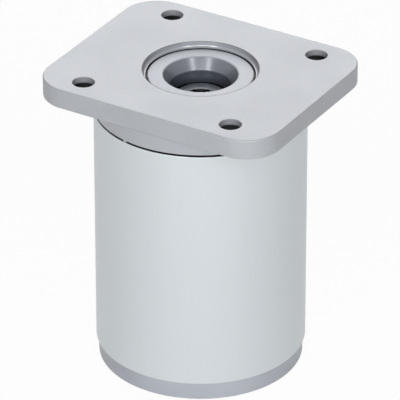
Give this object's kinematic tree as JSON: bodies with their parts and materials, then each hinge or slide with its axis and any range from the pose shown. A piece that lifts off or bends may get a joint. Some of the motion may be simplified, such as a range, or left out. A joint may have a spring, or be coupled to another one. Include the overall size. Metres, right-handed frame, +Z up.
{
  "type": "adjustable cabinet leg",
  "caption": "Round cabinet leg with a rectangular screw plate, raised and lowered with a hex key through the plate.",
  "frame": {"origin": "on the floor, under the leg's axis", "axes": "+Z up along the tube to the cabinet, +X along the plate's long side"},
  "size_m": [0.0496, 0.041, 0.0604],
  "materials": {
    "plate_paint": "satin",
    "ring_paint": "satin",
    "anodised_tube": "satin",
    "foot_plastic": "satin",
    "sleeve_plastic": "matte",
    "plated_steel": "satin",
    "spindle_steel": "satin",
    "spring_steel": "satin",
    "pad_rubber": "matte"
  },
  "bodies": {
    "plate": {"mounting_plate": "plate_paint", "key_guide_ring": "ring_paint", "guide_sleeve": "sleeve_plastic", "retaining_washer": "plated_steel"},
    "spindle": {"adjusting_spindle": "spindle_steel", "retaining_clip": "spring_steel", "thrust_washer": "plated_steel"},
    "leg": {"outer_tube": "anodised_tube", "foot_plug": "foot_plastic", "spindle_nut": "plated_steel", "nut_retainer": "sleeve_plastic", "glide_pad": "pad_rubber"}
  },
  "joints": [
    {"name": "leg_extend", "type": "slide", "parent": "plate", "child": "leg", "axis": [0, 0, -1], "range_m": [0, 0.015]},
    {"name": "spindle_turn", "type": "hinge", "parent": "plate", "child": "spindle", "pos_m": [0, 0, 0.05], "axis": [0, 0, 1], "range_deg": [0, 3600]}
  ],
  "couplings": [
    {"joint": "spindle_turn", "follows": "leg_extend", "rad_per_m": 4188.8}
  ]
}
